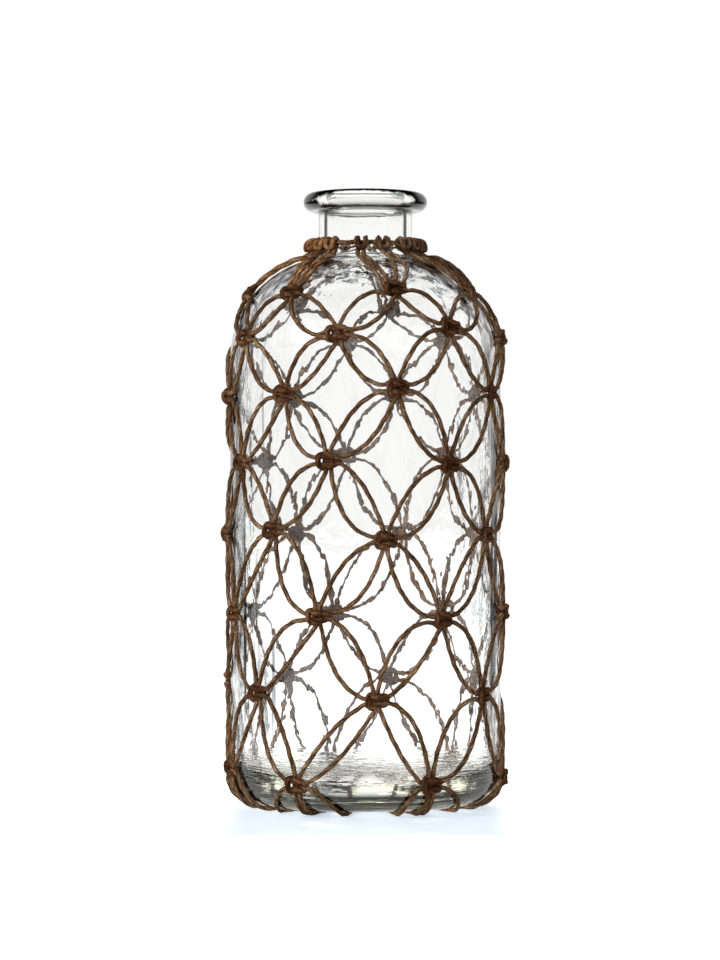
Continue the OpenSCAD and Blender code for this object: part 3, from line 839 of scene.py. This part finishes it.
def jute_material():
    material, nodes, links, shader = new_material("jute_twine")
    place = nodes.new("ShaderNodeTexCoord")
    uv = nodes.new("ShaderNodeUVMap")
    uv.uv_map = "cord"

    object_place = place.outputs["Object"]
    cord_place = uv.outputs["UV"]
    patches = noise_node(nodes, links, object_place, 90.0, 3.0)
    strands = noise_node(nodes, links, cord_place, 5.0, 3.0, (1.0, 2.2, 1.0), math.radians(35))
    fibres = noise_node(nodes, links, cord_place, 14.0, 4.0, (1.0, 3.0, 1.0), math.radians(35))
    grain = noise_node(nodes, links, object_place, 1300.0, 4.0)
    tone = ramp_node(nodes, links, patches, (0.3, (0.122, 0.064, 0.03)), (0.5, (0.215, 0.127, 0.067)),
                     (0.7, (0.365, 0.25, 0.16)))
    coarse = ramp_node(nodes, links, strands, (0.34, (0.36, 0.32, 0.29)), (0.52, (1.0, 0.97, 0.94)),
                       (0.68, (1.75, 1.7, 1.6)))
    fine = ramp_node(nodes, links, fibres, (0.35, (0.6, 0.57, 0.54)), (0.65, (1.25, 1.22, 1.18)))
    colour = mix_node(nodes, links, "MULTIPLY", 0.85, tone, coarse)
    colour = mix_node(nodes, links, "MULTIPLY", 0.7, colour, fine)
    fuzz = ramp_node(nodes, links, grain, (0.36, (0.62, 0.6, 0.58)), (0.64, (1.32, 1.3, 1.27)))
    colour = mix_node(nodes, links, "MULTIPLY", 1.0, colour, fuzz)

    # Painted shade in the grooves between the three plies as they twist round the cord.
    lay = nodes.new("ShaderNodeSeparateXYZ")
    links.new(cord_place, lay.inputs["Vector"])
    wound = math_node(nodes, links, "MULTIPLY_ADD", lay.outputs["Y"], 3.0, 0.0)
    wound = math_node(nodes, links, "MULTIPLY_ADD", lay.outputs["X"], -10.0 / PLY_PITCH, wound)
    ply = math_node(nodes, links, "COSINE", math_node(nodes, links, "MULTIPLY", wound, 2 * math.pi))
    ply_groove_shade = ramp_node(nodes, links, math_node(nodes, links, "MULTIPLY_ADD", ply, 0.5, 0.5),
                       (0.0, (0.42, 0.38, 0.35)), (0.55, (1.0, 1.0, 1.0)))
    colour = mix_node(nodes, links, "MULTIPLY", 1.0, colour, ply_groove_shade)
    # Painted shade: knots, and hitches a little, are darkened by the cord's attribute. Its values below 0 paint light
    # onto the left cords near the neck, where the lamp falls.
    painted_shading = nodes.new("ShaderNodeAttribute")
    painted_shading.attribute_name = "painted_shading"
    painted_knot_shade = math_node(nodes, links, "POWER", math_node(nodes, links, "MAXIMUM", painted_shading.outputs["Fac"], 0.0), 2.5)
    painted_light = math_node(nodes, links, "MULTIPLY", painted_shading.outputs["Fac"], -1.0)
    colour = mix_node(nodes, links, "MULTIPLY", painted_light, colour, (2.7, 2.2, 1.7))
    colour = mix_node(nodes, links, "MULTIPLY", painted_knot_shade, colour, (0.60, 0.45, 0.36))
    links.new(colour, shader.inputs["Base Color"])
    shader.inputs["Roughness"].default_value = 0.95
    shader.inputs["Specular IOR Level"].default_value = 0.12
    bump = nodes.new("ShaderNodeBump")
    bump.inputs["Strength"].default_value = 0.7
    bump.inputs["Distance"].default_value = 0.00025
    links.new(math_node(nodes, links, "ADD", strands, math_node(nodes, links, "ADD", fibres, grain)),
              bump.inputs["Height"])
    links.new(bump.outputs["Normal"], shader.inputs["Normal"])
    return material


def dress(piece, material, node):
    piece.data.materials.clear()
    piece.data.materials.append(material)
    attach(piece, "root")
    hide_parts(node)


# The studio


def make_camera():
    """Level, at the photograph's distance, a little left of the bottle's axis."""
    data = bpy.data.cameras.new("camera")
    data.lens = 112.5
    data.sensor_width = 36
    data.clip_end = 20
    camera = bpy.data.objects.new("camera", data)
    camera.location = (-0.0022, -1.233, 0.1334)
    camera.rotation_euler = (math.radians(90), 0, 0)
    bpy.context.scene.collection.objects.link(camera)
    bpy.context.scene.camera = camera


def seen_white(nodes, links):
    """1 for a ray that the camera, a reflection or the glass sends out, and 0 for the light's own."""
    path = nodes.new("ShaderNodeLightPath")
    seen = path.outputs["Is Camera Ray"]
    for name in ("Is Glossy Ray", "Is Transmission Ray"):
        add = nodes.new("ShaderNodeMath")
        add.operation = "MAXIMUM"
        links.new(seen, add.inputs[0])
        links.new(path.outputs[name], add.inputs[1])
        seen = add.outputs["Value"]
    return seen


def mirror_ray(nodes, links, path):
    """1 for a ray that was mirrored last, and 0 for one that came through glass."""
    direct = math_node(nodes, links, "SUBTRACT", 1.0, path.outputs["Is Transmission Ray"])
    return math_node(nodes, links, "MULTIPLY", path.outputs["Is Glossy Ray"], direct)


def make_world():
    world = bpy.data.worlds.new("studio")
    world.use_nodes = True
    nodes, links = world.node_tree.nodes, world.node_tree.links
    background = nodes["Background"]
    seen = seen_white(nodes, links)
    strength = nodes.new("ShaderNodeMix")
    strength.data_type = "FLOAT"
    links.new(seen, strength.inputs["Factor"])
    links.new(strength.outputs[0], background.inputs["Strength"])
    background.inputs["Color"].default_value = (1, 1, 1, 1)
    sky = nodes.new("ShaderNodeSeparateXYZ")
    links.new(nodes.new("ShaderNodeTexCoord").outputs["Generated"], sky.inputs["Vector"])
    path = nodes.new("ShaderNodeLightPath")
    ahead = range_node(nodes, links, sky.outputs["Y"], -0.45, 0.05)
    ahead = math_node(nodes, links, "MULTIPLY_ADD", ahead, 0.18, 0.82)
    level = range_node(nodes, links, sky.outputs["Z"], 0.64, 0.4)
    through_glass = math_node(nodes, links, "MULTIPLY", math_node(nodes, links, "MULTIPLY_ADD", level, 0.4, 0.6), ahead)
    boards = range_node(nodes, links, sky.outputs["Y"], 0.35, 0.65)
    boards = math_node(nodes, links, "MULTIPLY_ADD", boards, 0.85, 0.07)
    room = range_node(nodes, links, sky.outputs["Y"], -0.5, -0.8)
    boards = math_node(nodes, links, "MULTIPLY_ADD", room, 0.5, boards)
    mirrored = math_node(nodes, links, "MULTIPLY", boards, level)
    seen_in = nodes.new("ShaderNodeMix")
    seen_in.data_type = "FLOAT"
    links.new(mirror_ray(nodes, links, path), seen_in.inputs["Factor"])
    links.new(through_glass, seen_in.inputs[2])
    links.new(mirrored, seen_in.inputs[3])
    studio = math_node(nodes, links, "MAXIMUM", seen_in.outputs[0], path.outputs["Is Camera Ray"])
    depth = math_node(nodes, links, "MINIMUM", path.outputs["Diffuse Depth"], 1.0)
    links.new(math_node(nodes, links, "MULTIPLY_ADD", depth, 0.4, studio), strength.inputs[3])
    behind = range_node(nodes, links, sky.outputs["Y"], -0.2, 0.9)
    links.new(math_node(nodes, links, "MULTIPLY_ADD", behind, 0.8, 0.40), strength.inputs[2])
    bpy.context.scene.world = world


def make_light(name, place, target, size, power):
    data = bpy.data.lights.new(name, "AREA")
    data.shape = "DISK"
    data.size = size
    data.energy = power
    light = bpy.data.objects.new(name, data)
    light.location = place
    aim = Vector(target) - Vector(place)
    light.rotation_euler = aim.to_track_quat("-Z", "Y").to_euler()
    bpy.context.scene.collection.objects.link(light)


def make_floor():
    bm = bmesh.new()
    bmesh.ops.create_grid(bm, x_segments=1, y_segments=1, size=6)
    floor = new_piece("floor", bm)
    material, nodes, links, shader = new_material("white_floor")
    shader.inputs["Roughness"].default_value = 0.45
    shader.inputs["Specular IOR Level"].default_value = 0.3
    place = nodes.new("ShaderNodeSeparateXYZ")
    links.new(nodes.new("ShaderNodeTexCoord").outputs["Object"], place.inputs["Vector"])
    # Painted reflection: a pale blue patch under the bottle that only the camera sees, where the floor's own colour is
    # darker too.
    left = range_node(nodes, links, place.outputs["X"], -0.066, -0.046)
    right = range_node(nodes, links, place.outputs["X"], 0.066, 0.046)
    front = range_node(nodes, links, place.outputs["Y"], -0.128, -0.1)
    back = range_node(nodes, links, place.outputs["Y"], 0.02, -0.03)
    painted_blue_reflection = math_node(nodes, links, "MULTIPLY", left, right)
    painted_blue_reflection = math_node(nodes, links, "MULTIPLY", painted_blue_reflection, math_node(nodes, links, "MULTIPLY", front, back))
    clouds = noise_node(nodes, links, nodes["Texture Coordinate"].outputs["Object"], 30.0, 2.0)
    painted_blue_reflection = math_node(nodes, links, "MULTIPLY", painted_blue_reflection, range_node(nodes, links, clouds, 0.2, 0.45))
    painted_blue_reflection = math_node(nodes, links, "MULTIPLY", painted_blue_reflection, nodes.new("ShaderNodeLightPath").outputs["Is Camera Ray"])
    # Painted dark: near black where glass mirrors the floor far to the sides and front, and half dark in front for all
    # rays but the camera's.
    path = nodes.new("ShaderNodeLightPath")
    aside = math_node(nodes, links, "ABSOLUTE", place.outputs["X"])
    aside = math_node(nodes, links, "MULTIPLY_ADD", place.outputs["Y"], -0.5, aside)
    aside = range_node(nodes, links, aside, 0.25, 0.5)
    unlit = math_node(nodes, links, "MULTIPLY", aside, mirror_ray(nodes, links, path))
    near = range_node(nodes, links, place.outputs["Y"], -0.45, -0.6)
    near = math_node(nodes, links, "MULTIPLY", near, math_node(nodes, links, "SUBTRACT", 1.0, path.outputs["Is Camera Ray"]))
    unlit = math_node(nodes, links, "MAXIMUM", unlit, math_node(nodes, links, "MULTIPLY", near, 0.5))
    tint = mix_node(nodes, links, "MIX", painted_blue_reflection, (1.0, 1.0, 1.0), (0.76, 0.87, 1.0))
    tint = mix_node(nodes, links, "MIX", unlit, tint, (0.03, 0.03, 0.03))
    links.new(tint, shader.inputs["Emission Color"])
    base = mix_node(nodes, links, "MIX", painted_blue_reflection, (0.86, 0.87, 0.88), (0.52, 0.55, 0.58))
    links.new(mix_node(nodes, links, "MIX", unlit, base, (0.03, 0.03, 0.03)), shader.inputs["Base Color"])
    glow = math_node(nodes, links, "MULTIPLY", seen_white(nodes, links), 0.62)
    links.new(glow, shader.inputs["Emission Strength"])
    floor.data.materials.append(material)


make_camera()
make_world()
make_light("key", (-1.3, -0.85, 0.9), (0, 0, 0.12), 0.7, 20)
make_floor()

glass = glass_material()
jute = jute_material()

bottle = make_bottle()
dress(bottle, glass, "glass_bottle")

net, base_runs = make_net()
for number, piece in enumerate(net, 1):
    dress(piece, jute, f"net_cord_{number:02d}")
dress(make_neck_cord(), jute, "neck_cord")
dress(make_bundle(base_runs), jute, "base_bundle")

bpy.context.scene.view_settings.view_transform = "Standard"
